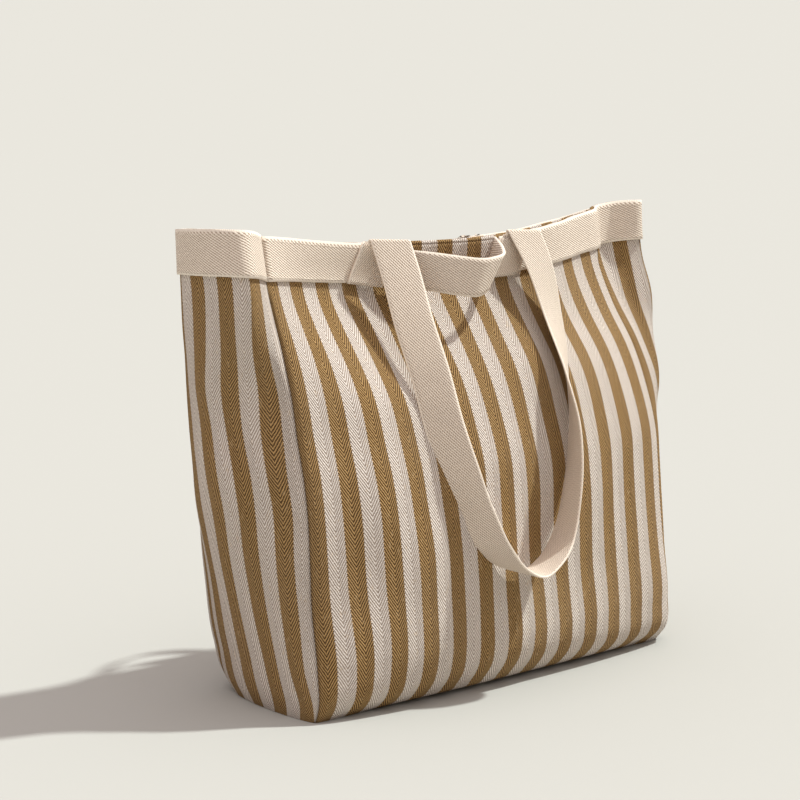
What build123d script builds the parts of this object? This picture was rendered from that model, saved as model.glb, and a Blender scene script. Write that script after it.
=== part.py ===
from build123d import *
import os
from collections import namedtuple
from math import cos, radians, sin

# A striped canvas tote bag: front, back and base panels, two gussets, a webbing band sewn round
# the rim, two shoulder straps and two short grab handles.
# Frame: millimetres, +Z up, origin on the floor at the middle of the base, front towards -Y.

os.makedirs("parts", exist_ok=True)

# ---------------------------------------------------------------- driving dimensions
CLOTH = 2.0            # thickness of the canvas
WEB_W = 32.0           # width of the cotton webbing
WEB_T = 2.0            # thickness of the webbing
HEM_T = 1.6            # thickness of the turned-in hem
RIM_Z = 368.0          # height of the top edge
BAND_GAP = 0.5         # the band starts this far below the hem's top edge
HEM_H = 26.0           # depth of the turned-in hem
GAP = 0.5              # clearance between moving webbing and what it hangs against
FIT = 0.05             # clearance between layers that are sewn together

LEFT_TAB_X = -76.0     # centre of the left strap end on the front
RIGHT_TAB_X = 60.0     # centre of the right strap end on the front
FRONT_GRAB_X = (-57.0, 41.0)   # where the front grab handle leaves the rim
BACK_TAB_X = 72.0      # distance of each strap end from the middle of the back
BACK_GRAB_X = (-52.0, 52.0)

BINDING_T = 2.4        # seam binding inside each corner
BINDING_W = 9.0
BINDING_OFFSET = 3.2   # distance of a binding from its corner, along the diagonal

STITCH_H = 0.8         # sewing thread seen from outside, as a low strip
STITCH_T = 0.4
STITCH_INSET = 2.2     # distance of a sewing line from the webbing's edge
TACK_H = 1.2
TACK_W = 12.0

# ---------------------------------------------------------------- shape of the bag by height
# Half width at the corners, depth of the front and back corners, and how far the front, back
# and side panels bow outwards between their corners.
Level = namedtuple("Level", "z half_w front back front_bow back_bow side_bow")
LEVELS = [
    Level(0.0, 188.0, -62.0, 62.0, 4.0, 3.0, 3.0),
    Level(14.0, 192.0, -69.0, 70.0, 8.0, 5.0, 6.0),
    Level(60.0, 192.0, -67.0, 80.0, 18.0, 8.0, 10.0),
    Level(130.0, 192.0, -62.0, 88.0, 24.0, 8.0, 14.0),
    Level(200.0, 191.0, -54.0, 92.0, 26.0, 6.0, 18.0),
    Level(260.0, 190.0, -36.0, 94.0, 24.0, 2.0, 22.0),
    Level(310.0, 187.0, -12.0, 92.0, 20.0, -8.0, 26.0),
    Level(336.0, 184.0, 2.0, 89.0, 18.0, -14.0, 29.0),
    Level(RIM_Z, 180.0, 12.0, 85.0, 16.0, -20.0, 32.0),
]
SIDES = ("front", "right", "back", "left")


def level_at(z):
    """The bag's section at any height, between the two nearest levels."""
    for low, high in zip(LEVELS, LEVELS[1:]):
        if z <= high.z:
            t = (z - low.z) / (high.z - low.z)
            return Level(*(a + (b - a) * t for a, b in zip(low, high)))
    return LEVELS[-1]


def side_points(level, side, offset):
    """Start, middle and end of one side's arc, moved outwards by offset, going anticlockwise."""
    x = level.half_w + offset
    front = level.front - offset
    back = level.back + offset
    middle = (level.front + level.back) / 2
    points = {
        "front": ((-x, front), (0.0, front - level.front_bow), (x, front)),
        "right": ((x, front), (x + level.side_bow, middle), (x, back)),
        "back": ((x, back), (0.0, back + level.back_bow), (-x, back)),
        "left": ((-x, back), (-x - level.side_bow, middle), (-x, front)),
    }
    return points[side]


def strip_face(level, side, inner, outer, start, end):
    """A thin strip along part of one side, between two offsets."""
    arcs = [Edge.make_three_point_arc(*side_points(level, side, k)) for k in (outer, inner)]
    ends = [[arc @ start, arc @ ((start + end) / 2), arc @ end] for arc in arcs]
    with BuildSketch(Plane.XY.offset(level.z)) as sketch:
        with BuildLine():
            ThreePointArc(*ends[0])
            Line(ends[0][2], ends[1][2])
            ThreePointArc(*reversed(ends[1]))
            Line(ends[1][0], ends[0][0])
        make_face()
    return sketch.sketch


def wall(side, inner, outer, bottom, top, start=0.0, end=1.0):
    """A strip that follows one side of the bag from one height to another."""
    heights = [bottom] + [k.z for k in LEVELS if bottom < k.z < top] + [top]
    with BuildPart() as piece:
        for z in heights:
            add(strip_face(level_at(z), side, inner, outer, start, end))
        loft(ruled=True)
    return piece.part


def fraction(x, side="front"):
    """Place of x along the front or back, as a fraction of the side's arc at the rim."""
    half = LEVELS[-1].half_w
    place = (x + half) / (2 * half)
    return place if side == "front" else 1 - place


def save(part, label):
    part.label = label
    export_step(part, f"parts/{label}.step")


# ---------------------------------------------------------------- canvas panels and hems
for side in SIDES:
    panel = {"front": "front_panel", "back": "back_panel"}.get(side, side + "_gusset")
    with BuildPart() as cloth:
        add(wall(side, -CLOTH, 0.0, 0.0, RIM_Z))
    save(cloth.part, panel)
    with BuildPart() as hem:
        add(wall(side, -CLOTH - HEM_T, -CLOTH - FIT, RIM_Z - HEM_H, RIM_Z - BAND_GAP))
    save(hem.part, side + "_hem")

floor = LEVELS[0]
with BuildPart() as base_panel:
    with BuildSketch(Plane.XY):
        Rectangle(2 * (floor.half_w - CLOTH), floor.back - floor.front - 2 * CLOTH)
    extrude(amount=CLOTH)
save(base_panel.part, "base_panel")

# ---------------------------------------------------------------- bindings inside the seams
BINDING_BOTTOM = 14.0
BINDING_TOP = RIM_Z - HEM_H - 2.0
CORNERS = {
    "front_left": (-1, "front", 45.0),
    "front_right": (1, "front", 135.0),
    "back_left": (-1, "back", -45.0),
    "back_right": (1, "back", -135.0),
}
for corner, (hand, side, heading) in CORNERS.items():
    heights = [BINDING_BOTTOM] + [k.z for k in LEVELS if BINDING_BOTTOM < k.z < BINDING_TOP] + [BINDING_TOP]
    reach = CLOTH + BINDING_OFFSET + BINDING_W / 2
    with BuildPart() as binding:
        for z in heights:
            level = level_at(z)
            y = level.front if side == "front" else level.back
            centre = Vector(hand * level.half_w, y, z)
            centre += Vector(cos(radians(heading)), sin(radians(heading)), 0) * reach
            with BuildSketch(Plane(centre, x_dir=(cos(radians(heading)), sin(radians(heading)), 0))):
                Rectangle(BINDING_W, BINDING_T)
        loft(ruled=True)
    save(binding.part, corner + "_seam_binding")

BASE_BINDING_INSET = 6.0
with BuildPart() as base_binding:
    with BuildSketch(Plane.XY.offset(CLOTH)):
        length = 2 * (floor.half_w - CLOTH - BASE_BINDING_INSET)
        depth = floor.back - floor.front - 2 * (CLOTH + BASE_BINDING_INSET)
        Rectangle(length, depth)
        Rectangle(length - 2 * BINDING_T, depth - 2 * BINDING_T, mode=Mode.SUBTRACT)
    extrude(amount=BINDING_W)
save(base_binding.part, "base_seam_binding")

# ---------------------------------------------------------------- webbing band round the rim
BAND_TOP = RIM_Z - BAND_GAP
BAND_BOTTOM = BAND_TOP - WEB_W + 2.0 * BAND_GAP
HALF_TAB = WEB_W / 2
BANDS = {
    "left": [
        ("front", 0.0, fraction(LEFT_TAB_X + HALF_TAB)),
        ("left", 0.0, 1.0),
        ("back", fraction(-BACK_TAB_X + HALF_TAB, "back"), 1.0),
    ],
    "right": [
        ("front", fraction(RIGHT_TAB_X - HALF_TAB), 1.0),
        ("right", 0.0, 1.0),
        ("back", 0.0, fraction(BACK_TAB_X - HALF_TAB, "back")),
    ],
}
for hand, runs in BANDS.items():
    with BuildPart() as band:
        for side, start, end in runs:
            add(wall(side, FIT, WEB_T, BAND_BOTTOM, BAND_TOP, start, end))
    save(band.part, hand + "_rim_band")
    with BuildPart() as stitching:
        for side, start, end in runs:
            for low in (BAND_BOTTOM + STITCH_INSET, BAND_TOP - STITCH_INSET - STITCH_H):
                add(wall(side, WEB_T + FIT, WEB_T + STITCH_T, low, low + STITCH_H, start, end))
    save(stitching.part, hand + "_rim_band_stitching")

# ---------------------------------------------------------------- sewn strap ends and their tacks
TABS = {
    "front_left": ("front", LEFT_TAB_X),
    "front_right": ("front", RIGHT_TAB_X),
    "back_left": ("back", -BACK_TAB_X),
    "back_right": ("back", BACK_TAB_X),
}
TAB_IN = WEB_T + STITCH_T + FIT
TAB_OUT = TAB_IN + WEB_T
for place, (side, x) in TABS.items():
    ends = sorted((fraction(x - HALF_TAB, side), fraction(x + HALF_TAB, side)))
    with BuildPart() as tab:
        add(wall(side, TAB_IN, TAB_OUT, BAND_BOTTOM, BAND_TOP, *ends))
    save(tab.part, place + "_strap_end")
    ends = sorted((fraction(x - TACK_W, side), fraction(x + TACK_W, side)))
    with BuildPart() as tack:
        for low in (BAND_BOTTOM + STITCH_INSET, BAND_BOTTOM + 2 * STITCH_INSET + TACK_H):
            add(wall(side, TAB_OUT + FIT, TAB_OUT + STITCH_T, low, low + TACK_H, *ends))
    save(tack.part, place + "_strap_tacks")

# ---------------------------------------------------------------- free webbing: straps and handles
# Stations along each loop: the middle of the webbing (x, y, z) and the way its width points, as
# an angle in plan from +X towards the outside. The loop hangs from its two folds at the rim, and
# turns edge-on to the bag at the bottom, as limp webbing does.
FRONT_STRAP = [
    (-76.0, -13.5, 366.0, 0.0),
    (-74.0, -25.0, 330.0, 0.0),
    (-70.0, -46.0, 290.0, 4.0),
    (-67.0, -74.0, 240.0, 8.0),
    (-64.0, -91.0, 190.0, 18.0),
    (-55.0, -100.0, 150.0, 38.0),
    (-38.0, -105.0, 120.0, 65.0),
    (-18.0, -107.0, 103.0, 85.0),
    (3.0, -107.0, 97.5, 90.0),
    (23.0, -107.0, 103.0, 95.0),
    (40.0, -105.0, 120.0, 112.0),
    (53.0, -101.0, 152.0, 138.0),
    (62.0, -93.0, 195.0, 158.0),
    (70.0, -75.0, 243.0, 170.0),
    (78.0, -46.0, 292.0, 177.0),
    (78.0, -25.0, 332.0, 180.0),
    (72.0, -13.5, 366.0, 180.0),
]
BACK_STRAP = [
    (-72.0, 76.0, 366.0, 0.0),
    (-72.0, 88.0, 330.0, 0.0),
    (-70.0, 97.0, 290.0, 4.0),
    (-68.0, 105.0, 240.0, 8.0),
    (-64.0, 110.0, 190.0, 18.0),
    (-54.0, 114.0, 150.0, 38.0),
    (-38.0, 117.0, 120.0, 65.0),
    (-19.0, 118.0, 103.0, 85.0),
    (0.0, 118.0, 97.5, 90.0),
]
BACK_STRAP += [(-x, y, z, 180.0 - turn) for x, y, z, turn in reversed(BACK_STRAP[:-1])]


def webbing_loop(stations, outside):
    """Flat webbing lofted through its stations; outside is -1 at the front and 1 at the back."""
    middles = [Vector(x, y, z) for x, y, z, turn in stations]
    with BuildPart() as loop:
        for i, (x, y, z, turn) in enumerate(stations):
            along = middles[min(i + 1, len(middles) - 1)] - middles[max(i - 1, 0)]
            width = Vector(cos(radians(turn)), outside * sin(radians(turn)), 0)
            with BuildSketch(Plane(middles[i], x_dir=width, z_dir=along)):
                Rectangle(WEB_W, WEB_T)
        loft(ruled=True)
    return loop.part


def grab_loop(ends, rim_y, outside):
    """Short handle that bows out from the rim and droops between its two ends."""
    half = (ends[1] - ends[0]) / 2
    middle_x = (ends[0] + ends[1]) / 2
    top_z = BAND_TOP - WEB_W / 2
    with BuildPart() as handle:
        for step in range(-GRAB_STEPS, GRAB_STEPS + 1):
            s = step / GRAB_STEPS
            lift = cos(radians(90.0 * s)) ** 2
            centre = (middle_x + half * s, rim_y + outside * GRAB_BOW * lift, top_z - GRAB_DROOP * lift)
            slope = -radians(180.0) / 2 * sin(radians(180.0 * s)) / half
            along = Vector(1.0, outside * GRAB_BOW * slope, -GRAB_DROOP * slope)
            lean = radians(GRAB_LEAN * lift)
            across = Vector(0, outside * sin(lean), cos(lean))
            with BuildSketch(Plane(centre, x_dir=across, z_dir=along)):
                Rectangle(WEB_W, WEB_T)
        loft(ruled=True)
    return handle.part


GRAB_STEPS = 5
GRAB_BOW = 30.0        # how far the slack handle stands out from the rim
GRAB_DROOP = 19.0      # how far its middle hangs below its ends
GRAB_LEAN = -12.0      # its lower edge stands out further than its upper edge, in degrees

FRONT_FACE = level_at(BAND_BOTTOM).front - level_at(BAND_BOTTOM).front_bow
BACK_FACE = level_at(BAND_BOTTOM).back + level_at(BAND_BOTTOM).back_bow
front_grab_y = FRONT_FACE - GAP - WEB_T
back_grab_y = BACK_FACE + GAP + 2 * WEB_T

with BuildPart() as front_strap:
    add(webbing_loop(FRONT_STRAP, -1))
save(front_strap.part, "front_shoulder_strap")
with BuildPart() as back_strap:
    add(webbing_loop(BACK_STRAP, 1))
save(back_strap.part, "back_shoulder_strap")
with BuildPart() as front_grab:
    add(grab_loop(FRONT_GRAB_X, front_grab_y, -1))
save(front_grab.part, "front_grab_handle")
with BuildPart() as back_grab:
    add(grab_loop(BACK_GRAB_X, back_grab_y, 1))
save(back_grab.part, "back_grab_handle")
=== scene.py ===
"""Striped canvas tote bag with webbing rim band, two shoulder straps and two grab handles."""
import math

import bpy
import numpy as np
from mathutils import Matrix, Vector


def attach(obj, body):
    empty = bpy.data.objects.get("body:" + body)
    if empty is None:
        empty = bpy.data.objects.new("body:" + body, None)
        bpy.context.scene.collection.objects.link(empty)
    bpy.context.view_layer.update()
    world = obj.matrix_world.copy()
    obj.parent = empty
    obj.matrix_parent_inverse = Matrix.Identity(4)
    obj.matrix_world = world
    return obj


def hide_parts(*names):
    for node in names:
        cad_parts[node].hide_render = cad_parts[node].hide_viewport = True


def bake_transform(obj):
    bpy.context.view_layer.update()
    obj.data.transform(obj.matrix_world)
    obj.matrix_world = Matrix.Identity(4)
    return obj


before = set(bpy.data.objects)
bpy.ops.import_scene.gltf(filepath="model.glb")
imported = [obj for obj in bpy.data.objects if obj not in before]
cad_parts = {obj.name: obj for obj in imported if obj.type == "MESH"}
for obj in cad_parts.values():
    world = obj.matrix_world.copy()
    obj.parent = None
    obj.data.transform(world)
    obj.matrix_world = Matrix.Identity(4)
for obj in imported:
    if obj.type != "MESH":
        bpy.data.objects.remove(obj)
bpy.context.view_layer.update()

# ---------------------------------------------------------------- measures, mm unless said
MM = 0.001
STRIPE = 15.0           # width of one stripe, tan or off-white
PERIOD = 2 * STRIPE
FRONT_PERIODS = 13      # stripe pairs across the front and across the back
GUSSET_STEPS = 11       # stripes across each side panel
RIM = 372.0             # nominal height of the rim, before it droops or lifts
CLOTH = 1.8             # canvas thickness
WEB_W = 32.0            # webbing width
WEB_T = 2.0             # webbing thickness
BAND_OUT = 0.5          # gap between the canvas and the webbing sewn on it
SEAM_DIP = 3.6          # how far the panels dip in where they meet at a seam
SLACK = 1.3             # height of the soft unevenness of loose cloth
SEAM_REACH = 3.4        # how far from a seam the dip is felt

CAMERA_AT = (-1.3198, -1.5580, 0.603)
CAMERA_HEADING = (0.631, 0.7755)
CAMERA_DOWN = math.atan(463 / 2500)
LENS = 112.5

KEY_FROM = (0.929, -0.37)    # where the key light comes from, seen from above
KEY_HEIGHT = math.radians(57.5)
KEY_STRENGTH = 3.45
KEY_COLOUR = (0.95, 1.0, 0.98)
KEY_SPREAD = math.radians(2.5)
SKY_STRENGTH = 1.365     # straight up; the sky darkens towards the horizon
SKY_COLOUR = (1.0, 0.915, 0.91)
HORIZON_COLOUR = (0.82, 0.795, 0.73)    # a narrow bright line that joins the floor to the sky
HORIZON_FADE = (0.03, 0.09)             # sines of the heights between which it fades out
FLOOR_REACH = 90.0                      # metres


# ---------------------------------------------------------------- smooth lines through points
class Track:
    """A smooth line through values placed at knots, read at any place between them."""

    def __init__(self, knots, values):
        self.knots = np.array(knots, float)
        self.values = np.array(values, float)
        gap = np.diff(self.knots)
        tall = gap.reshape([-1] + [1] * (self.values.ndim - 1))
        rise = np.diff(self.values, axis=0) / tall
        self.slope = np.empty_like(self.values)
        self.slope[0] = rise[0]
        self.slope[-1] = rise[-1]
        for i in range(1, len(gap)):
            before, after = gap[i - 1], gap[i]
            self.slope[i] = (rise[i - 1] * after + rise[i] * before) / (before + after)

    def __call__(self, at):
        at = min(max(at, self.knots[0]), self.knots[-1])
        i = min(int(np.searchsorted(self.knots, at, "right")) - 1, len(self.knots) - 2)
        gap = self.knots[i + 1] - self.knots[i]
        t = (at - self.knots[i]) / gap
        start = (2 * t**3 - 3 * t**2 + 1) * self.values[i]
        start = start + (t**3 - 2 * t**2 + t) * gap * self.slope[i]
        end = (3 * t**2 - 2 * t**3) * self.values[i + 1]
        return start + end + (t**3 - t**2) * gap * self.slope[i + 1]


def ease(value):
    """0 below 0, 1 above 1, and a smooth rise between."""
    value = min(max(value, 0.0), 1.0)
    return value * value * (3 - 2 * value)


# ---------------------------------------------------------------- shape of the bag
# Plan view of each side panel at a few heights: from the front corner to the back corner, at
# these numbers of stripes along the cloth. These rows and FRONT_BOW were first worked out by
# separate programs, from where the stripes lie in the photograph, then rounded and changed by hand.
LEFT_AT = (0, 1, 2, 3, 5, 7, GUSSET_STEPS)
LEFT_ROWS = {
    0: ((-191, -66), (-194, -51), (-196, -37), (-197, -22), (-197, 6), (-194, 32), (-178, 57)),
    10: ((-191, -70), (-194, -56), (-197, -42), (-199, -27), (-201, 4), (-198, 34), (-185, 64)),
    40: ((-190, -68), (-194, -54), (-199, -41), (-201, -27), (-204, 3), (-203, 33), (-192, 72)),
    90: ((-190, -61), (-194, -48), (-201, -34), (-204, -19), (-208, 11), (-207, 42), (-194, 80)),
    130: ((-190, -59), (-195, -45), (-203, -32), (-210, -19), (-218, 10), (-216, 42), (-195, 83)),
    160: ((-190, -57), (-195, -43), (-205, -31), (-213, -19), (-224, 7), (-222, 42), (-194, 84)),
    190: ((-190, -52), (-196, -38), (-209, -29), (-215, -16), (-227, 10), (-224, 44), (-194, 86)),
    220: ((-190, -44), (-193, -29), (-206, -19), (-212, -4), (-222, 24), (-221, 54), (-193, 88)),
    252: ((-190, -37), (-193, -23), (-205, -14), (-213, 0), (-226, 27), (-223, 57), (-191, 85)),
    282: ((-190, -27), (-200, -22), (-212, -17), (-219, -5), (-229, 22), (-226, 54), (-189, 80)),
    327: ((-190, -9), (-201, -14), (-214, -18), (-222, -6), (-229, 22), (-227, 56), (-187, 76)),
    372: ((-187, 7), (-198, 0), (-211, -5), (-220, 6), (-229, 34), (-225, 62), (-185, 75)),
}
RIGHT_AT = (0, 1, 2, 3, 4, 7, GUSSET_STEPS)
RIGHT_ROWS = {
    0: ((184, -64), (190, -50), (192, -36), (193, -22), (193, -8), (190, 28), (176, 58)),
    10: ((189, -72), (193, -58), (195, -44), (197, -30), (198, -15), (196, 30), (184, 68)),
    40: ((190, -75), (195, -61), (198, -47), (200, -32), (201, -17), (201, 28), (190, 74)),
    90: ((190, -68), (197, -55), (202, -41), (205, -27), (207, -12), (206, 32), (192, 80)),
    130: ((190, -63), (198, -51), (204, -38), (208, -24), (211, -9), (209, 34), (192, 84)),
    160: ((190, -60), (198, -49), (205, -37), (210, -24), (214, -10), (212, 36), (192, 86)),
    190: ((190, -56), (199, -46), (207, -36), (213, -25), (219, -11), (215, 36), (191, 88)),
    220: ((189, -47), (199, -40), (208, -35), (216, -29), (223, -16), (219, 34), (190, 88)),
    261: ((186, -30), (193, -25), (204, -19), (215, -19), (225, -12), (221, 34), (189, 80)),
    293: ((183, -9), (192, -1), (204, 2), (214, -4), (225, -9), (223, 34), (187, 73)),
    325: ((180.5, 6.5), (190, 17), (204, 15), (215, 8), (225, 4), (222, 38), (186, 67)),
    372: ((177, 14), (186, 24), (200, 23), (211, 17), (223, 9), (220, 42), (184, 66)),
}
# How far the rim stands above or below its nominal height, along each side.
FRONT_LIFT = Track((0, 1, 2, 3.3, 5, 8, 9.5, 11, 12, 13),
                   (1.5, -2, -6, -10.5, -12, -12.5, -11, -8, -5, -2.5))
LEFT_LIFT = Track((0, 1, 2, 3, 5, 8, 11), (1.5, 6, 9, 9.5, 8, 3, -6))
RIGHT_LIFT = Track((0, 1, 2, 3, 4, 7, 11), (-2.5, -1, 1, 2.5, 3, -3, -15.5))
BACK_LIFT = Track((0, 1, 3, 6.5, 8, 10, 11, 12, 13), (-6, -9, -17, -24, -23, -22, -21, -18, -15.5))

# How far the front stands in front of the straight line between its corners (minus is outward),
# at these stripe pairs from its left corner.
BOW_AT = (0, 1, 2, 3.5, 5, 8, 11, 12, 13)
FRONT_BOW = {
    0: (0, 0, 1, 1, 1, 1, 1, 0, 0),
    3: (0, -2, -3, -5, -6, -5, -3, -1, 0),
    12: (0, -6, -9, -11, -11, -10, -7, -4, 0),
    30: (0, -11, -16, -20, -21, -18, -11, -7, 0),
    60: (0, -13, -21, -26, -25, -20, -13, -9, 0),
    125: (0, -9, -19, -27, -27, -22, -14, -9, 0),
    160: (0, -7, -17, -23, -25, -23, -15, -9, 0),
    200: (0, -7, -15, -20, -24, -24, -16, -9, 0),
    240: (0, -6, -12, -16, -21, -24, -16, -8, 0),
    275: (0, -3, -4, -6, -15, -23, -14, -7, 0),
    305: (0, 3, 5, 2, -9, -20, -12, -6, 0),
    330: (0, 7, 10, 10, -3, -17, -12, -5, 0),
    372: (0, 1, 0, -2, -12, -26, -14, -6, 0),
}
# The back stands out low down and sinks towards the front at its rim.
BACK_BOW = Track((0, 12, 30, 60, 125, 200, 260, 310, 345, 372), (0, 9, 16, 20, 19, 13, 3, -9, -14, -15))

FRONT_BOW_TRACK = Track(list(FRONT_BOW), list(FRONT_BOW.values()))
LEFT_TRACK = Track(list(LEFT_ROWS), list(LEFT_ROWS.values()))
RIGHT_TRACK = Track(list(RIGHT_ROWS), list(RIGHT_ROWS.values()))


def lifted(height, lift):
    """Height above the floor of a point at this height on the cloth."""
    return height + lift * (height / RIM) ** 2


def seam_tuck(distance, height):
    """How far cloth dips towards the inside this many mm from a seam; less where webbing holds it."""
    depth = SEAM_DIP * (1 - 0.6 * ease((height - 322) / 16)) * (0.3 + 0.7 * ease(height / 14))
    return depth * math.exp(-((distance / SEAM_REACH) ** 2))


def slack(along, height, share):
    """Soft unevenness of loose cloth; share runs 0 to 1 across the panel, and it ends at the seams."""
    hold = max(math.sin(math.pi * share), 0.0) ** 0.5 * ease(height / 60) * ease((RIM - 36 - height) / 50)
    broad = math.sin(along / 21 + height / 34) * math.sin(height / 47 - along / 60)
    fine = math.sin(along / 9.5 - height / 26 + 1.3) * math.sin(height / 29 + along / 33)
    return SLACK * hold * (broad + 0.45 * fine)


def tucked(x, y, height, from_front, from_back, inward):
    """Moves a side panel's point in at its two seams; inward is 1 on the left, -1 on the right."""
    front_tuck, back_tuck = seam_tuck(from_front, height), seam_tuck(from_back, height)
    share = min(max(from_front / (from_front + from_back), 0.0), 1.0)
    x -= inward * slack(from_front + 500, height, share)
    return x + inward * 0.7 * (front_tuck + back_tuck), y + 0.9 * (front_tuck - back_tuck)


def left_point(step, height):
    x, y = Track(LEFT_AT, LEFT_TRACK(height))(step)
    x, y = tucked(x, y, height, step * STRIPE, (GUSSET_STEPS - step) * STRIPE, 1)
    return np.array((x, y, lifted(height, LEFT_LIFT(step))))


def right_point(step, height):
    x, y = Track(RIGHT_AT, RIGHT_TRACK(height))(step)
    x, y = tucked(x, y, height, step * STRIPE, (GUSSET_STEPS - step) * STRIPE, -1)
    return np.array((x, y, lifted(height, RIGHT_LIFT(step))))


def front_point(pair, height):
    left, right = LEFT_TRACK(height)[0], RIGHT_TRACK(height)[0]
    x, y = left + (right - left) * pair / FRONT_PERIODS
    y += Track(BOW_AT, FRONT_BOW_TRACK(height))(pair)
    y -= slack(pair * PERIOD, height, min(max(pair / FRONT_PERIODS, 0.0), 1.0))
    near, far = seam_tuck(pair * PERIOD, height), seam_tuck((FRONT_PERIODS - pair) * PERIOD, height)
    return np.array((x + 0.7 * (near - far), y + 0.9 * (near + far), lifted(height, FRONT_LIFT(pair))))


def back_point(pair, height):
    """The back, counted like the others away from the bag's left."""
    left, right = LEFT_TRACK(height)[-1], RIGHT_TRACK(height)[-1]
    x, y = left + (right - left) * pair / FRONT_PERIODS
    y += BACK_BOW(height) * abs(math.sin(math.pi * pair / FRONT_PERIODS)) ** 0.8
    y += slack(pair * PERIOD + 200, height, min(max(pair / FRONT_PERIODS, 0.0), 1.0))
    near, far = seam_tuck(pair * PERIOD, height), seam_tuck((FRONT_PERIODS - pair) * PERIOD, height)
    return np.array((x + 0.7 * (near - far), y - 0.9 * (near + far), lifted(height, BACK_LIFT(pair))))


def outward(surface, at, height, turn):
    """Unit normal of a surface; turn is 1 where it runs anticlockwise seen from above."""
    step = 0.05
    along = surface(at + step, height) - surface(at - step, height)
    up = surface(at, min(height + 1, RIM)) - surface(at, max(height - 1, 0))
    normal = np.cross(along, up) * turn
    return normal / np.linalg.norm(normal)


def on_surface(surface, at, height, turn, out):
    return surface(at, height) + outward(surface, at, height, turn) * out


# Each side of the bag: its surface, and 1 where that runs anticlockwise seen from above.
FRONT = (front_point, 1)
RIGHT = (right_point, 1)
LEFT = (left_point, -1)
BACK = (back_point, -1)


# ---------------------------------------------------------------- meshes
def add_object(name, mesh):
    piece = bpy.data.objects.new(name, mesh)
    bpy.context.scene.collection.objects.link(piece)
    return piece


def grid_piece(name, rows, uvs, flip=False):
    """A smooth sheet through rows of points in mm, with uvs in mm written in metres."""
    rows = np.array(rows) * MM
    high, wide = rows.shape[:2]
    faces = []
    for i in range(high - 1):
        for j in range(wide - 1):
            a = i * wide + j
            face = (a, a + 1, a + wide + 1, a + wide)
            faces.append(face[::-1] if flip else face)
    mesh = bpy.data.meshes.new(name)
    mesh.from_pydata([tuple(p) for p in rows.reshape(-1, 3)], [], faces)
    flat = np.array(uvs, float).reshape(-1, 2) * MM
    layer = mesh.uv_layers.new(name="cloth")
    for loop in mesh.loops:
        layer.data[loop.index].uv = flat[loop.vertex_index]
    mesh.shade_smooth()
    return add_object(name, mesh)


def thicken(piece, thickness, offset=-1.0):
    """Gives a sheet its thickness; offset -1 grows it inward, 1 outward."""
    thick = piece.modifiers.new("thickness", "SOLIDIFY")
    thick.thickness = thickness * MM
    thick.offset = offset
    thick.use_even_offset = False


def lengths(points):
    """Distance along a row of points from its first one."""
    steps = np.linalg.norm(np.diff(np.array(points), axis=0), axis=1)
    return np.concatenate(([0.0], np.cumsum(steps)))


# ---------------------------------------------------------------- materials
class Shade:
    """Short calls for building one node material."""

    def __init__(self, name, roughness, sheen=0.0):
        self.material = bpy.data.materials.new(name)
        self.material.use_nodes = True
        self.tree = self.material.node_tree
        self.shader = self.tree.nodes["Principled BSDF"]
        self.shader.inputs["Roughness"].default_value = roughness
        self.shader.inputs["Sheen Weight"].default_value = sheen
        self.shader.inputs["Sheen Roughness"].default_value = 0.6
        self.shader.inputs["Specular IOR Level"].default_value = 0.12

    def link(self, value, socket):
        if isinstance(value, bpy.types.NodeSocket):
            self.tree.links.new(value, socket)
        else:
            socket.default_value = value

    def math(self, operation, first, second=0.0, third=0.0):
        node = self.tree.nodes.new("ShaderNodeMath")
        node.operation = operation
        for value, socket in zip((first, second, third), node.inputs):
            self.link(value, socket)
        return node.outputs[0]

    def cloth_place(self):
        """How far across and along the cloth a point is, in metres."""
        where = self.tree.nodes.new("ShaderNodeUVMap")
        where.uv_map = "cloth"
        split = self.tree.nodes.new("ShaderNodeSeparateXYZ")
        self.tree.links.new(where.outputs[0], split.inputs[0])
        return split.outputs[0], split.outputs[1]

    def noise(self, scale, detail=2.0, stretch=(1.0, 1.0, 1.0)):
        """Soft random values around 0.5, in the object's own space."""
        place = self.tree.nodes.new("ShaderNodeTexCoord")
        mapping = self.tree.nodes.new("ShaderNodeMapping")
        mapping.inputs["Scale"].default_value = stretch
        self.tree.links.new(place.outputs["Object"], mapping.inputs[0])
        node = self.tree.nodes.new("ShaderNodeTexNoise")
        node.inputs["Scale"].default_value = scale
        node.inputs["Detail"].default_value = detail
        self.tree.links.new(mapping.outputs[0], node.inputs["Vector"])
        return node.outputs["Fac"]

    def wave(self, phase):
        """0 to 1 and back once for each unit of phase."""
        turn = self.math("MULTIPLY", phase, 2 * math.pi)
        return self.math("MULTIPLY_ADD", self.math("COSINE", turn), 0.5, 0.5)

    def rising(self, value, low, high):
        """0 below low, 1 above high, smooth between."""
        node = self.tree.nodes.new("ShaderNodeMapRange")
        node.interpolation_type = "SMOOTHSTEP"
        node.inputs["From Min"].default_value = low
        node.inputs["From Max"].default_value = high
        self.link(value, node.inputs["Value"])
        return node.outputs["Result"]

    def mix(self, share, first, second):
        node = self.tree.nodes.new("ShaderNodeMix")
        node.data_type = "RGBA"
        self.link(share, node.inputs[0])
        self.link(first, node.inputs[6])
        self.link(second, node.inputs[7])
        return node.outputs[2]

    def finish(self, colour, height, depth_mm, strength=1.0):
        self.tree.links.new(colour, self.shader.inputs["Base Color"])
        bump = self.tree.nodes.new("ShaderNodeBump")
        bump.inputs["Strength"].default_value = strength
        bump.inputs["Distance"].default_value = depth_mm * MM
        self.tree.links.new(height, bump.inputs["Height"])
        self.tree.links.new(bump.outputs[0], self.shader.inputs["Normal"])
        return self.material


def rgb(red, green, blue):
    return (red, green, blue, 1.0)


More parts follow.
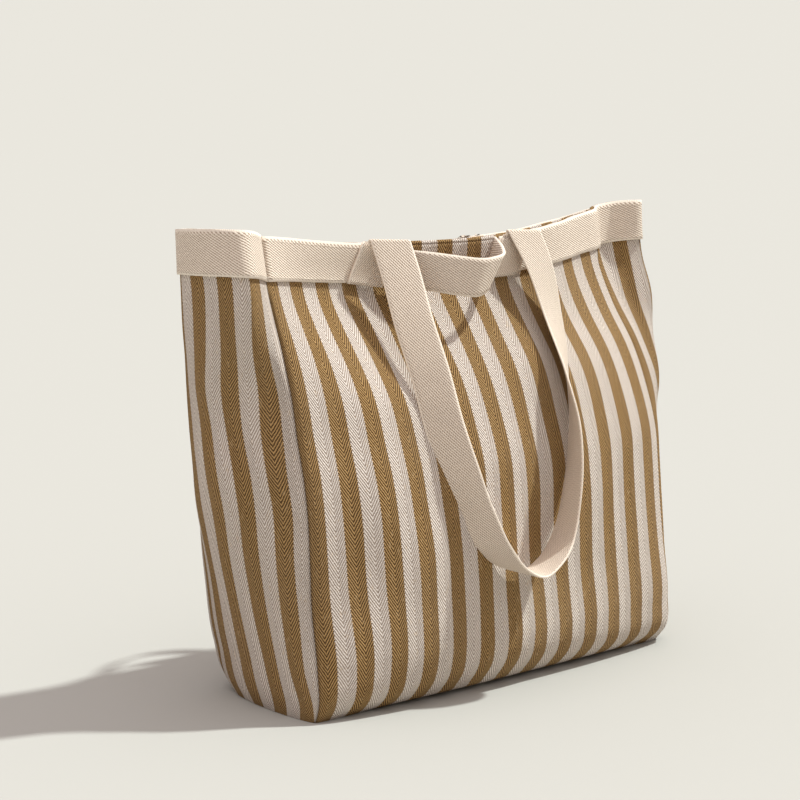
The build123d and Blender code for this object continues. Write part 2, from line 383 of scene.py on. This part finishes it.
# The groove colours are painted shade: each yarn's colour as it looks in the recesses between yarns
TAN_YARN = rgb(0.53, 0.325, 0.130)
TAN_GROOVE_SHADE = rgb(0.085, 0.040, 0.010)
WHITE_YARN = rgb(0.95, 0.86, 0.775)
WHITE_GROOVE_SHADE = rgb(0.42, 0.33, 0.265)
WEB_YARN = rgb(0.92, 0.805, 0.68)
WEB_GROOVE_SHADE = rgb(0.46, 0.345, 0.255)
FLECK = rgb(0.80, 0.58, 0.33)
AGED_CANVAS = rgb(0.40, 0.31, 0.22)
# Painted shade: the colour of the shadow in the crease along each seam
PAINTED_SEAM_SHADOW = rgb(0.05, 0.03, 0.018)
SEAM_SHADOW_AMOUNT = 0.55         # how far the painted shadow in each seam's crease darkens the cloth towards its colour
AGED_WEB = rgb(0.50, 0.41, 0.31)
WEB_PITCH = 2.05 * MM    # from one diagonal cord of the webbing to the next
WEB_SLANT = 0.577        # the cords rise by this for each step along the webbing
TWILL_PITCH = 3.5 * MM   # from one herringbone line to the next, measured up the stripe
TWILL_SLOPE = 1.7        # how steeply the lines fall to the middle of each stripe


def striped_canvas():
    """Tan and off-white stripes, each one a herringbone column whose lines point down."""
    shade = Shade("striped_canvas", roughness=0.9, sheen=0.03)
    across, along = shade.cloth_place()
    ragged = shade.wave(shade.math("DIVIDE", along, TWILL_PITCH * 0.5))
    edge = shade.math("MULTIPLY_ADD", ragged, 0.0007, across)
    stripes = shade.math("DIVIDE", edge, STRIPE * MM)
    is_white = shade.math("FLOORED_MODULO", shade.math("FLOOR", stripes), 2.0)
    inside = shade.math("FRACT", shade.math("DIVIDE", across, STRIPE * MM))
    off_middle = shade.math("ABSOLUTE", shade.math("SUBTRACT", inside, 0.5))
    fall = shade.math("MULTIPLY", off_middle, STRIPE * MM * TWILL_SLOPE)
    waver = shade.math("MULTIPLY", shade.noise(160.0), 0.0018)
    place = shade.math("ADD", shade.math("SUBTRACT", along, fall), waver)
    ridge = shade.wave(shade.math("DIVIDE", place, TWILL_PITCH))
    fuzz = shade.noise(1150.0, 3.0)
    slub = shade.noise(420.0, 2.0, (1.0, 1.0, 0.35))
    yarn = shade.math("MULTIPLY_ADD", shade.math("SUBTRACT", fuzz, 0.5), 1.3, ridge)
    # Painted shade: lit mixes the dark groove colour into the recesses between the yarns
    lit = shade.rising(yarn, 0.10, 0.85)
    tan = shade.mix(lit, TAN_GROOVE_SHADE, TAN_YARN)
    white = shade.mix(lit, WHITE_GROOVE_SHADE, WHITE_YARN)
    colour = shade.mix(is_white, tan, white)
    fleck = shade.math("MULTIPLY", shade.rising(slub, 0.60, 0.75), 0.25)
    colour = shade.mix(fleck, colour, FLECK)
    age = shade.math("MULTIPLY", shade.rising(shade.noise(9.0, 3.0), 0.35, 0.75), 0.10)
    colour = shade.mix(age, colour, AGED_CANVAS)
    # Painted shade: the cloth darkens along each seam where its crease would be in shadow
    seam = shade.tree.nodes.new("ShaderNodeAttribute")
    seam.attribute_name = "seam"
    seam_shadow = shade.math("MULTIPLY", seam.outputs["Fac"], SEAM_SHADOW_AMOUNT)
    colour = shade.mix(seam_shadow, colour, PAINTED_SEAM_SHADOW)
    relief = shade.math("MULTIPLY_ADD", fuzz, 0.5, ridge)
    return shade.finish(colour, relief, 0.75)


def webbing():
    """Cotton webbing: small raised dots that read as diagonal cords, and a ribbed edge."""
    shade = Shade("webbing", roughness=0.85, sheen=0.04)
    along, across = shade.cloth_place()
    waver = shade.math("MULTIPLY", shade.noise(300.0), 0.0006)
    wavy = shade.math("ADD", across, waver)
    rise = shade.math("MULTIPLY_ADD", along, WEB_SLANT, wavy)
    cords = shade.wave(shade.math("DIVIDE", rise, WEB_PITCH))
    fall = shade.math("MULTIPLY_ADD", along, -WEB_SLANT, wavy)
    counter = shade.wave(shade.math("DIVIDE", fall, WEB_PITCH))
    mesh = shade.math("MULTIPLY_ADD", counter, 0.28, shade.math("MULTIPLY", cords, 0.72))
    cell = shade.rising(mesh, 0.12, 0.85)
    rib = shade.wave(shade.math("DIVIDE", along, 0.0017))
    rim = shade.rising(shade.math("ABSOLUTE", across), 0.0144, 0.0149)
    plain = shade.math("MULTIPLY_ADD", rib, 0.35, 0.65)
    pattern = shade.math("ADD", shade.math("MULTIPLY", cell, shade.math("SUBTRACT", 1.0, rim)),
                         shade.math("MULTIPLY", plain, rim))
    fuzz = shade.noise(2400.0, 3.0)
    yarn = shade.math("MULTIPLY_ADD", shade.math("SUBTRACT", fuzz, 0.5), 0.5, pattern)
    # Painted shade: the gaps between the webbing's cords take the dark groove colour
    colour = shade.mix(shade.rising(yarn, -0.05, 0.6), WEB_GROOVE_SHADE, WEB_YARN)
    age = shade.math("MULTIPLY", shade.rising(shade.noise(12.0, 3.0), 0.4, 0.8), 0.08)
    colour = shade.mix(age, colour, AGED_WEB)
    relief = shade.math("MULTIPLY_ADD", fuzz, 0.3, pattern)
    return shade.finish(colour, relief, 0.40)


def binding_tape():
    """Thin cotton tape with fine cross ribs."""
    shade = Shade("binding", roughness=0.85, sheen=0.1)
    along, across = shade.cloth_place()
    rib = shade.wave(shade.math("DIVIDE", along, 0.0012))
    fuzz = shade.noise(1500.0, 3.0)
    colour = shade.mix(shade.math("MULTIPLY", rib, fuzz), rgb(0.50, 0.43, 0.35), rgb(0.76, 0.69, 0.60))
    return shade.finish(colour, shade.math("ADD", rib, fuzz), 0.2)


def sewing_thread():
    """Twisted off-white thread."""
    shade = Shade("thread", roughness=0.6, sheen=0.1)
    twist = shade.noise(2200.0, 2.0, (1.0, 1.0, 3.0))
    colour = shade.mix(twist, rgb(0.66, 0.57, 0.46), rgb(0.88, 0.80, 0.69))
    return shade.finish(colour, twist, 0.15)


CANVAS = striped_canvas()
WEBBING = webbing()
BINDING = binding_tape()
THREAD = sewing_thread()


def dress(piece, material, body, *nodes):
    """Gives a piece its material and its body, and hides the CAD nodes that it stands for."""
    piece.data.materials.append(material)
    if body:
        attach(piece, body)
    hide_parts(*nodes)
    return piece


# ---------------------------------------------------------------- camera, light and floor
def add_camera():
    data = bpy.data.cameras.new("camera")
    data.lens = LENS
    data.sensor_width = 36.0
    data.clip_end = 200.0
    camera = bpy.data.objects.new("camera", data)
    bpy.context.scene.collection.objects.link(camera)
    flat = math.cos(CAMERA_DOWN)
    aim = Vector((CAMERA_HEADING[0] * flat, CAMERA_HEADING[1] * flat, -math.sin(CAMERA_DOWN)))
    camera.location = CAMERA_AT
    camera.rotation_euler = aim.to_track_quat("-Z", "Y").to_euler()
    bpy.context.scene.camera = camera


def add_key():
    data = bpy.data.lights.new("key", "SUN")
    data.energy = KEY_STRENGTH
    data.angle = KEY_SPREAD
    data.color = KEY_COLOUR
    key = bpy.data.objects.new("key", data)
    bpy.context.scene.collection.objects.link(key)
    flat = math.cos(KEY_HEIGHT)
    aim = Vector((-KEY_FROM[0] * flat, -KEY_FROM[1] * flat, -math.sin(KEY_HEIGHT)))
    key.rotation_euler = aim.to_track_quat("-Z", "Y").to_euler()


def sky_glow(nodes, links, height):
    """The sky's colour, brightest straight up."""
    above = nodes.new("ShaderNodeMapRange")
    above.inputs["To Max"].default_value = SKY_STRENGTH
    links.new(height, above.inputs["Value"])
    overhead = nodes.new("ShaderNodeVectorMath")
    overhead.operation = "SCALE"
    overhead.inputs[0].default_value = SKY_COLOUR
    links.new(above.outputs["Result"], overhead.inputs["Scale"])
    return overhead.outputs[0]


def add_sky():
    world = bpy.data.worlds.new("studio")
    world.use_nodes = True
    nodes, links = world.node_tree.nodes, world.node_tree.links
    towards = nodes.new("ShaderNodeTexCoord")
    split = nodes.new("ShaderNodeSeparateXYZ")
    links.new(towards.outputs["Generated"], split.inputs[0])
    glow = sky_glow(nodes, links, split.outputs["Z"])
    away = nodes.new("ShaderNodeMapRange")
    away.interpolation_type = "SMOOTHSTEP"
    away.inputs["From Min"].default_value = HORIZON_FADE[0]
    away.inputs["From Max"].default_value = HORIZON_FADE[1]
    links.new(split.outputs["Z"], away.inputs["Value"])
    blend = nodes.new("ShaderNodeMix")
    blend.data_type = "RGBA"
    blend.inputs[6].default_value = rgb(*HORIZON_COLOUR)
    links.new(away.outputs["Result"], blend.inputs[0])
    links.new(glow, blend.inputs[7])
    links.new(blend.outputs[2], nodes["Background"].inputs["Color"])
    bpy.context.scene.world = world
    bpy.context.scene.view_settings.view_transform = "Standard"


def add_floor():
    mesh = bpy.data.meshes.new("floor")
    far = FLOOR_REACH
    corners = [(-far, -far, 0), (far, -far, 0), (far, far, 0), (-far, far, 0)]
    mesh.from_pydata(corners, [], [(0, 1, 2, 3)])
    floor = add_object("floor", mesh)
    shade = Shade("floor_paper", roughness=0.95)
    grain = shade.noise(300.0, 3.0)
    colour = shade.mix(grain, rgb(0.457, 0.452, 0.418), rgb(0.463, 0.458, 0.424))
    floor.data.materials.append(shade.finish(colour, grain, 0.02, 0.2))


add_camera()
add_key()
add_sky()
add_floor()


# ---------------------------------------------------------------- canvas panels
def cloth_heights():
    """Heights of the rows of a panel: close together where the cloth curls under the base."""
    low = [0, 0.7, 1.6, 3, 5, 7.5, 10.5, 14, 18, 22.5, 27]
    return low + list(np.arange(31.5, RIM - 1, 4.0)) + [RIM]


HEIGHTS = cloth_heights()
RUN_UP = lengths([front_point(6.5, height) for height in HEIGHTS])


def run_at(height):
    """Length of cloth from the base seam up to this height."""
    return float(np.interp(height, HEIGHTS, RUN_UP))


SLIDE_HEIGHT = 60.0    # below this the side panel's stripes run towards the front corner
SEAM_SHADOW_HALF_WIDTH = 1.3        # half width of the painted shadow line in the crease where two panels meet
BASE_FLAT = (0.375, 0.135)
BASE_LIFT = 0.2        # the base's cloth lies this far above the floor


def panel(name, side, columns, first_stripe, slide=0.0):
    """One wall of the bag; first_stripe is where its cloth starts in the stripe pattern, in mm.

    slide is how far the stripes run towards the front corner on their last way down to the base."""
    surface, turn = side
    width = PERIOD if surface in (front_point, back_point) else STRIPE
    rows, uvs = [], []
    for height, run in zip(HEIGHTS, RUN_UP):
        rows.append([surface(at, height) for at in columns])
        shift = first_stripe + slide * (1 - min(height / SLIDE_HEIGHT, 1)) ** 2
        uvs.append([(shift + at * width, run) for at in columns])
    piece = grid_piece(name, rows, uvs, flip=turn < 0)
    last = columns[-1]
    # Painted shade: the seam attribute is the mask of the shadow painted along each seam's crease
    near = [math.exp(-((min(at, last - at) * width / SEAM_SHADOW_HALF_WIDTH) ** 2)) for at in columns]
    layer = piece.data.attributes.new("seam", "FLOAT", "POINT")
    layer.data.foreach_set("value", near * len(HEIGHTS))
    thicken(piece, CLOTH)
    return piece


def columns(count, per_unit):
    """Even steps across a panel, with a few closer ones beside its two seams."""
    even = [i / per_unit for i in range(count * per_unit + 1)]
    close = [step / per_unit for step in (0.15, 0.3, 0.5, 0.7)]
    return sorted(even + close + [count - step for step in close])


front = panel("canvas_front", FRONT, columns(FRONT_PERIODS, 8), 0.0)
dress(front, CANVAS, "bag", "front_panel")
back = panel("canvas_back", BACK, columns(FRONT_PERIODS, 6), 0.0)
dress(back, CANVAS, "bag", "back_panel")
left = panel("canvas_left", LEFT, columns(GUSSET_STEPS, 5), STRIPE, slide=14.0)
dress(left, CANVAS, "bag", "left_gusset")
right = panel("canvas_right", RIGHT, columns(GUSSET_STEPS, 5), 0.0)
dress(right, CANVAS, "bag", "right_gusset")


def add_base():
    """The base fills the outline of the four walls' lower edges."""
    steps = 26
    rows, uvs = [], []
    for i in range(steps + 1):
        depth = i / steps
        row, marks = [], []
        for j in range(3 * steps + 1):
            along = j / (3 * steps)
            near = front_point(along * FRONT_PERIODS, 0)
            far = back_point(along * FRONT_PERIODS, 0)
            one = left_point(depth * GUSSET_STEPS, 0)
            other = right_point(depth * GUSSET_STEPS, 0)
            mean = near * (1 - depth) + far * depth + one * (1 - along) + other * along
            corners = (left_point(0, 0) * (1 - along) + right_point(0, 0) * along) * (1 - depth)
            corners = corners + (left_point(GUSSET_STEPS, 0) * (1 - along)
                                 + right_point(GUSSET_STEPS, 0) * along) * depth
            row.append(mean - corners + np.array((0, 0, BASE_LIFT)))
            marks.append((along * FRONT_PERIODS * PERIOD, -depth * BASE_FLAT[1] / MM))
        rows.append(row)
        uvs.append(marks)
    base = grid_piece("canvas_base", rows, uvs, flip=True)
    thicken(base, CLOTH)
    dress(base, CANVAS, "bag", "base_panel")


add_base()


# ---------------------------------------------------------------- turned-in hems
HEM_H = 26.0
# How far out and up from the rim the hem's rows lie, and the length of cloth up to each.
HEM_ROLL = [(0.1, -1.5, 0), (0.1, -0.3, 1), (-0.6, 0.8, 2), (-1.9, 1.2, 3.5)]
HEM_ROLL += [(-3.1, 0.7, 5), (-3.6, -0.6, 6.5)]
HEM_ROLL += [(-3.7, -drop, 6 + drop) for drop in (3, 7, 12, 18, HEM_H)]


def add_hem(name, side, count, first_stripe, node):
    """The top edge rolls over and runs down the inside."""
    surface, turn = side
    width = PERIOD if surface in (front_point, back_point) else STRIPE
    cols = columns(count, 6 if width == PERIOD else 4)
    rows, uvs = [], []
    for out, up, run in HEM_ROLL:
        row = []
        for at in cols:
            point = on_surface(surface, at, RIM + min(up, 0), turn, out)
            row.append(point + np.array((0, 0, max(up, 0))))
        rows.append(row)
        uvs.append([(first_stripe + at * width, RUN_UP[-1] + run) for at in cols])
    piece = grid_piece(name, rows, uvs, flip=turn < 0)
    thicken(piece, 0.8)
    dress(piece, CANVAS, "bag", node)


add_hem("hem_front", FRONT, FRONT_PERIODS, 0.0, "front_hem")
add_hem("hem_back", BACK, FRONT_PERIODS, 0.0, "back_hem")
add_hem("hem_left", LEFT, GUSSET_STEPS, STRIPE, "left_hem")
add_hem("hem_right", RIGHT, GUSSET_STEPS, 0.0, "right_hem")

# ---------------------------------------------------------------- rim band
BAND_H = 33.0
BAND_RISE = 1.2               # the band's top edge stands this far above the rim
STITCH_INSET = 2.6            # from the edge of the webbing to a sewing line
FRONT_TAB_AT = (3.65, 8.3)    # where the two front tabs are sewn, in stripe pairs
BACK_TAB_AT = (4.0, 9.0)


def band_path(left_side):
    """Places round the rim from the front tab, round one side, to the back tab."""
    front_end = FRONT_TAB_AT[0] if left_side else FRONT_TAB_AT[1]
    back_end = BACK_TAB_AT[0] if left_side else BACK_TAB_AT[1]
    corner = 0 if left_side else FRONT_PERIODS
    gusset = LEFT if left_side else RIGHT
    turn = -1 if left_side else 1
    steps = 4 * abs(int(front_end - corner)) + 3
    path = [(FRONT, front_end + (corner - front_end) * i / steps) for i in range(steps + 1)]
    path += [(gusset, i / 4) for i in range(GUSSET_STEPS * 4 + 1)]
    path += [(BACK, corner + (back_end - corner) * i / steps) for i in range(steps + 1)]
    return path, turn


def band_rows(path, out, drops):
    rows = []
    for drop in drops:
        rows.append([on_surface(side[0], at, RIM - drop, side[1], out) for side, at in path])
    return rows


def add_band(name, left_side, node):
    path, turn = band_path(left_side)
    drops = [-1.0] + list(np.linspace(0, BAND_H, 11)[1:-1]) + [BAND_H]
    rows = band_rows(path, BAND_OUT, [max(drop, 0) for drop in drops])
    rows[0] = [point + np.array((0, 0, BAND_RISE)) for point in rows[0]]
    run = lengths(rows[5])
    half = BAND_H / 2
    ups = [(half - max(drop, 0)) * WEB_W / BAND_H for drop in drops]
    uvs = [[(along * turn, up) for along in run] for up in ups]
    piece = grid_piece(name, rows, uvs, flip=turn > 0)
    thicken(piece, WEB_T, 1.0)
    dress(piece, WEBBING, "bag", node)


add_band("band_left", True, "left_rim_band")
add_band("band_right", False, "right_rim_band")


# ---------------------------------------------------------------- stitches
def capsule(mesh_points, mesh_faces, middle, along, out, length, thick):
    """Adds one raised stitch: a small six-sided spindle lying along the seam."""
    along = along / np.linalg.norm(along)
    side = np.cross(out, along)
    start = len(mesh_points)
    rings = ((-0.5, 0.25), (-0.36, 0.8), (0.0, 1.0), (0.36, 0.8), (0.5, 0.25))
    for place, size in rings:
        for k in range(6):
            angle = math.pi * k / 3
            offset = side * math.cos(angle) + out * math.sin(angle)
            mesh_points.append(middle + along * place * length + offset * size * thick / 2)
    for ring in range(len(rings) - 1):
        for k in range(6):
            a = start + ring * 6 + k
            b = start + ring * 6 + (k + 1) % 6
            mesh_faces.append((a, b, b + 6, a + 6))
    mesh_faces.append(tuple(start + k for k in range(5, -1, -1)))
    last = start + (len(rings) - 1) * 6
    mesh_faces.append(tuple(last + k for k in range(6)))


def stitch_piece(name, lines, node, length=2.9, gap=1.3, thick=0.6):
    """Stitches along lines of (point, outward) pairs."""
    points, faces = [], []
    for line in lines:
        places = np.array([point for point, out in line])
        outs = np.array([out for point, out in line])
        run = lengths(places)
        at = length / 2 + 0.5
        while at < run[-1] - length / 2:
            middle = np.array([np.interp(at, run, places[:, k]) for k in range(3)])
            ahead = np.array([np.interp(at + 1, run, places[:, k]) for k in range(3)])
            out = np.array([np.interp(at, run, outs[:, k]) for k in range(3)])
            capsule(points, faces, middle, ahead - middle, out / np.linalg.norm(out), length, thick)
            at += length + gap
    mesh = bpy.data.meshes.new(name)
    mesh.from_pydata([tuple(p * MM) for p in points], [], faces)
    mesh.shade_smooth()
    return dress(add_object(name, mesh), THREAD, "bag", node)


STITCH_OUT = BAND_OUT + WEB_T - 0.05    # how far the band's stitches stand off the canvas


def band_stitches(name, left_side, node):
    path, turn = band_path(left_side)
    lines = []
    for drop in (STITCH_INSET, BAND_H - STITCH_INSET):
        line = []
        for side, at in path:
            out = outward(side[0], at, RIM - drop, side[1])
            line.append((side[0](at, RIM - drop) + out * STITCH_OUT, out))
        lines.append(line)
    stitch_piece(name, lines, node)


band_stitches("stitches_left", True, "left_rim_band_stitching")
band_stitches("stitches_right", False, "right_rim_band_stitching")


# ---------------------------------------------------------------- tabs and shoulder straps
TAB_H = 36.0
TAB_OUT = BAND_OUT + WEB_T + 0.4         # how far a tab and its stitches stand off the canvas
TACK_OUT = BAND_OUT + 2 * WEB_T + 0.45
TACK_RISE = 30                           # how far up a tab's edges it is sewn
WEB_ACROSS = np.linspace(-WEB_W / 2, WEB_W / 2, 9)


def tab_place(tab, across, up):
    """Where a point of a tab lies: (at, height) on the side's cloth.

    Its sides lean by one angle and its lower end by another, as it was sewn on askew."""
    side, middle, lean, tilt = tab
    at = middle + (across + up * math.tan(math.radians(lean))) / (PERIOD - 1.4)
    return at, RIM - TAB_H + up - across * math.sin(math.radians(tilt))


def add_tab(name, tab, node):
    """Webbing end sewn over the band, leaning as far as its folded-over strap leans."""
    surface, turn = tab[0]
    rows, uvs = [], []
    for up in np.linspace(0, TAB_H + 8, 13):
        row, marks = [], []
        for across in WEB_ACROSS:
            at, height = tab_place(tab, across, up)
            over = max(height - RIM, 0)
            point = on_surface(surface, at, min(height, RIM), turn, TAB_OUT)
            row.append(point + np.array((0, 0, min(over, 0.6))))
            marks.append((-up, across))
        rows.append(row)
        uvs.append(marks)
    piece = grid_piece(name, rows, uvs, flip=turn < 0)
    thicken(piece, WEB_T, 1.0)
    dress(piece, WEBBING, "bag", node)


def add_tacks(name, tab, node):
    """Stitches along a tab's lower end and part of the way up both its edges."""
    surface, turn = tab[0]
    half = WEB_W / 2 - STITCH_INSET
    low_left, low_right = (-half, STITCH_INSET), (half, STITCH_INSET)
    seams = ((low_left, low_right), (low_left, (-half, TACK_RISE)), (low_right, (half, TACK_RISE)))
    lines = []
    for start, end in seams:
        line = []
        for t in np.linspace(0, 1, 9):
            across = start[0] + (end[0] - start[0]) * t
            up = start[1] + (end[1] - start[1]) * t
            at, height = tab_place(tab, across, up)
            out = outward(surface, at, height, turn)
            line.append((surface(at, height) + out * TACK_OUT, out))
        lines.append(line)
    stitch_piece(name, lines, node, length=2.4, gap=1.5)


TABS = (
    ("front_left", (FRONT, FRONT_TAB_AT[0], 19, 8)),
    ("front_right", (FRONT, FRONT_TAB_AT[1], 14, 0)),
    ("back_left", (BACK, BACK_TAB_AT[0], 4, 4)),
    ("back_right", (BACK, BACK_TAB_AT[1], -4, -4)),
)
for place, tab in TABS:
    add_tab("tab_" + place, tab, place + "_strap_end")
    add_tacks("tacks_" + place, tab, place + "_strap_tacks")


FOLD = 1.7           # radius of the fold where webbing turns back over the rim
FOLD_START = 8.5     # length of webbing that each fold takes up
FOLD_DOWN = 5.0      # how far the folded end runs down again


def ribbon_row(path, turns, share, skews, inward, weave):
    """One row across webbing, this share of the way along it, slanted near its two folds."""
    total = path.knots[-1]
    row, marks = [], []
    for a in WEB_ACROSS:
        first = FOLD_START + a * skews[0]
        last = total - FOLD_START + a * skews[1]
        at = total * share
        at += first * ease(1 - share * 5) - (total - last) * ease(1 - (1 - share) * 5)
        ahead = path(min(at + 1, total)) - path(max(at - 1, 0))
        ahead = ahead / np.linalg.norm(ahead)
        turn = math.radians(turns(at))
        width = np.array((math.cos(turn), -inward * math.sin(turn), 0.0))
        width = width - ahead * width.dot(ahead)
        width = width / np.linalg.norm(width)
        row.append(path(at) + width * a)
        marks.append((at * weave, a))
    return row, marks


def fold_rows(edge, marks, sign, inward):
    """Rows that carry webbing round half a turn and a little way down again."""
    made = []
    for angle in (30, 60, 90, 120, 150, 180):
        swing = math.radians(angle)
        shift = np.array((0, inward * FOLD * (1 - math.cos(swing)), FOLD * math.sin(swing)))
        made.append(([p + shift for p in edge], [(u + sign * swing * FOLD, v) for u, v in marks]))
    down = np.array((0, inward * FOLD * 2, -FOLD_DOWN))
    made.append(([p + down for p in edge], [(u + sign * 2 * FOLD_DOWN, v) for u, v in marks]))
    return made


def ribbon(name, stations, skews, inward=1.0, weave=1.0):
    """Webbing through stations (x, y, z, turn); its ends fold back over the rim.

    turn is how far the width has turned from +X towards the viewer, in degrees. The skews are
    the slants of the two folds, as length along the webbing for each mm across it."""
    places = [station[:3] for station in stations]
    run = lengths(places)
    path = Track(run, places)
    turns = Track(run, [station[3] for station in stations])
    count = int(run[-1] / 4)
    made = [ribbon_row(path, turns, i / count, skews, inward, weave) for i in range(count + 1)]
    start = fold_rows(*made[0], -weave, inward)
    made = start[::-1] + made + fold_rows(*made[-1], weave, inward)
    piece = grid_piece(name, [row for row, marks in made], [marks for row, marks in made])
    thicken(piece, WEB_T, 0.0)
    soften = piece.modifiers.new("smooth", "SUBSURF")
    soften.levels = 1
    soften.render_levels = 1
    return piece, run[-1]


# A separate least-squares program first fitted these stations to the strap's edges in the
# photograph; they were then rounded and changed by hand.
FRONT_STRAP = [
    (-72, -9, 370.5, 28), (-70.5, -24, 338, 34), (-71, -40, 303, 39), (-69, -59, 262, 42),
    (-66, -75, 218, 43), (-59, -84, 186, 48), (-48, -92, 150, 57), (-37, -101, 124, 67),
    (-21, -107, 106, 79), (1, -108, 98, 92), (19, -107, 106, 99), (35, -102, 119, 100),
    (50.5, -98, 162, 106), (61, -88, 207, 116), (69, -69, 247, 132), (78, -41, 295, 158),
    (73, -30, 335, 174), (61, -20, 369.5, 184),
]
strap, strap_run = ribbon("shoulder_strap_front", FRONT_STRAP, (0.3, 0.45), weave=-1.0)
dress(strap, WEBBING, None, "front_shoulder_strap")
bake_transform(strap)

BACK_STRAP = [
    (-60, 66.5, 347, 0), (-61, 72, 330, 0), (-63, 82, 300, 2), (-65, 97, 250, 5), (-64, 104, 200, 10),
    (-56, 107, 152, 22), (-39, 110, 120, 38), (-20, 113, 103, 50), (0, 114, 97.5, 55),
]
BACK_STRAP += [(-x, y, z, 180.0 - turn) for x, y, z, turn in reversed(BACK_STRAP[:-1])]
back_strap, back_run = ribbon("shoulder_strap_back", BACK_STRAP, (0.05, 0.05), inward=-1.0)
dress(back_strap, WEBBING, None, "back_shoulder_strap")
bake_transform(back_strap)


# ---------------------------------------------------------------- grab handles
def add_grab(name, upper, lower, node):
    """Short webbing handle between its upper and lower edges, given by matching points."""
    top, bottom = Track(range(len(upper)), upper), Track(range(len(lower)), lower)
    rows, uvs, run = [], [], 0.0
    for i, at in enumerate(np.linspace(0, len(upper) - 1, 57)):
        high, low = top(at), bottom(at)
        middle = (high + low) / 2
        across = (high - low) / np.linalg.norm(high - low)
        rows.append([middle + across * a for a in WEB_ACROSS])
        if i:
            run += float(np.linalg.norm(rows[-1][4] - rows[-2][4]))
        uvs.append([(run, a) for a in WEB_ACROSS])
    piece = grid_piece(name, rows, uvs, flip=True)
    thicken(piece, WEB_T, 0.0)
    dress(piece, WEBBING, node, node)


FRONT_GRAB_UPPER = [
    (-68, -2, 357), (-45, -24, 356.5), (-20, -40, 352), (-4, -49, 350), (12, -48, 350.5),
    (24, -42, 351), (31, -33, 352), (35, -25, 354.5), (37, -14, 358.5),
]
FRONT_GRAB_LOWER = [
    (-62, -3, 325), (-42, -25, 321), (-24, -38, 317.5), (-9, -44, 315.5), (3, -40, 317),
    (13, -33, 319), (20, -25, 322), (25, -18, 325.5), (30, -8, 331),
]
add_grab("grab_handle_front", FRONT_GRAB_UPPER, FRONT_GRAB_LOWER, "front_grab_handle")
BACK_GRAB_UPPER = [(54, 60, 346), (43, 76, 346), (24, 90, 343), (0, 96, 340)]
BACK_GRAB_UPPER += [(-x, y, z) for x, y, z in reversed(BACK_GRAB_UPPER[:-1])]
BACK_GRAB_LOWER = [(53, 74, 318), (42, 88, 316), (22, 100, 313), (0, 106, 310)]
BACK_GRAB_LOWER += [(-x, y, z) for x, y, z in reversed(BACK_GRAB_LOWER[:-1])]
add_grab("grab_handle_back", BACK_GRAB_UPPER, BACK_GRAB_LOWER, "back_grab_handle")


# ---------------------------------------------------------------- seam bindings inside
def tape_piece(name, line, inward, node, width=9.0, thick=2.4):
    """Folded tape standing inward from a seam along a line of points."""
    line = np.array(line, float)
    run = lengths(line)
    rows, uvs = [], []
    outline = [(0, -0.5), (0.75, -0.5), (0.93, -0.35), (1.0, 0)]
    outline += [(0.93, 0.35), (0.75, 0.5), (0, 0.5), (0, -0.5)]
    for i, point in enumerate(line):
        ahead = line[min(i + 1, len(line) - 1)] - line[max(i - 1, 0)]
        into = np.array(inward[i], float)
        into = into / np.linalg.norm(into)
        side = np.cross(ahead / np.linalg.norm(ahead), into)
        rows.append([point + into * (1.9 + width * a) + side * b * thick for a, b in outline])
        uvs.append([(run[i], a * width) for a, b in outline])
    dress(grid_piece(name, rows, uvs), BINDING, "bag", node)


CORNERS = (
    ("front_left", left_point, 0, (1, 1, 0)),
    ("front_right", right_point, 0, (-1, 1, 0)),
    ("back_left", left_point, GUSSET_STEPS, (1, -1, 0)),
    ("back_right", right_point, GUSSET_STEPS, (-1, -1, 0)),
)
for place, surface, at, into in CORNERS:
    line = [surface(at, height) for height in np.linspace(16, RIM - HEM_H - 4, 40)]
    tape_piece("binding_" + place, line, [into] * len(line), place + "_seam_binding")


def base_outline():
    """The base seam, once round, with the direction up and into the bag at each point."""
    height = 6.0
    line = [front_point(at, height) for at in np.linspace(0.3, FRONT_PERIODS - 0.3, 40)]
    line += [right_point(at, height) for at in np.linspace(0.5, GUSSET_STEPS - 0.5, 16)]
    line += [back_point(at, height) for at in np.linspace(FRONT_PERIODS - 0.3, 0.3, 40)]
    line += [left_point(at, height) for at in np.linspace(GUSSET_STEPS - 0.5, 0.5, 16)]
    line.append(line[0])
    return line


outline = base_outline()
upward = [(-point[0] / 190, -point[1] / 70, 0.8) for point in outline]
tape_piece("binding_base", outline, upward, "base_seam_binding", width=8.0)
